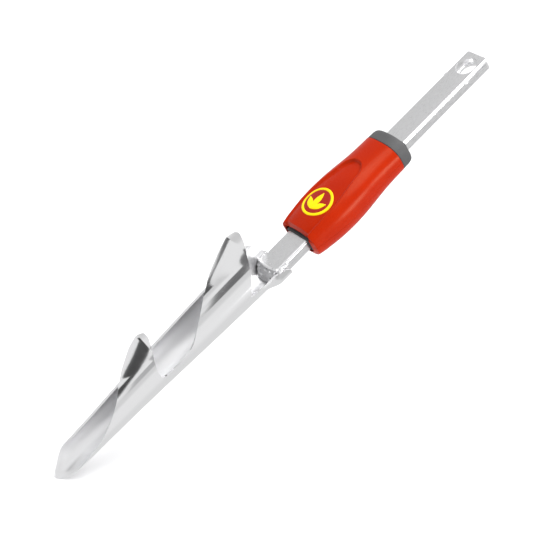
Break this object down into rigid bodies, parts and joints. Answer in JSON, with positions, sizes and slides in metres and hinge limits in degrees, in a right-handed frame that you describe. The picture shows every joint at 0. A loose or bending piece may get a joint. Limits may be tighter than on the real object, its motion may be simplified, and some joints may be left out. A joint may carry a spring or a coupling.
{
  "type": "bulb planter head",
  "caption": "Spiral-cut tubular steel bulb planter blade welded to a flat coupling tongue, with an oval moulded grip sleeve and collar.",
  "frame": {"origin": "under the centre of the object's box, at the height of the blade's tip", "axes": "+Z along the tool from the blade's tip to the end of the tongue, +X along the tongue's width, -Y the badge side"},
  "size_m": [0.042, 0.0468, 0.4149],
  "materials": {
    "plated_blade": "polished and bright plated",
    "plated_tongue": "satin plated, fine rolling lines along the length",
    "plated_weld": "plated weld metal with ripples and pin holes",
    "red_shell": "moulded, semi-gloss",
    "grey_collar": "moulded, matt",
    "dark_core": "moulded, matt",
    "badge_field": "printed inlay",
    "badge_yellow": "printed inlay",
    "zinc_screw": "zinc plated"
  },
  "bodies": {
    "root": {"blade": "plated_blade", "tongue_front_half": "plated_tongue", "tongue_rear_half": "plated_tongue", "weld_end_fillet": "plated_weld", "weld_left_leg": "plated_weld", "weld_right_leg": "plated_weld", "seam_tack_right": "plated_weld", "seam_tack_left": "plated_weld", "sleeve_core": "dark_core", "collar": "grey_collar", "front_shell": "red_shell", "rear_shell": "red_shell", "badge_plate": "badge_field", "badge_ring": "badge_yellow", "badge_emblem": "badge_yellow", "sleeve_screw_lower": "zinc_screw", "sleeve_screw_upper": "zinc_screw"}
  },
  "joints": []
}
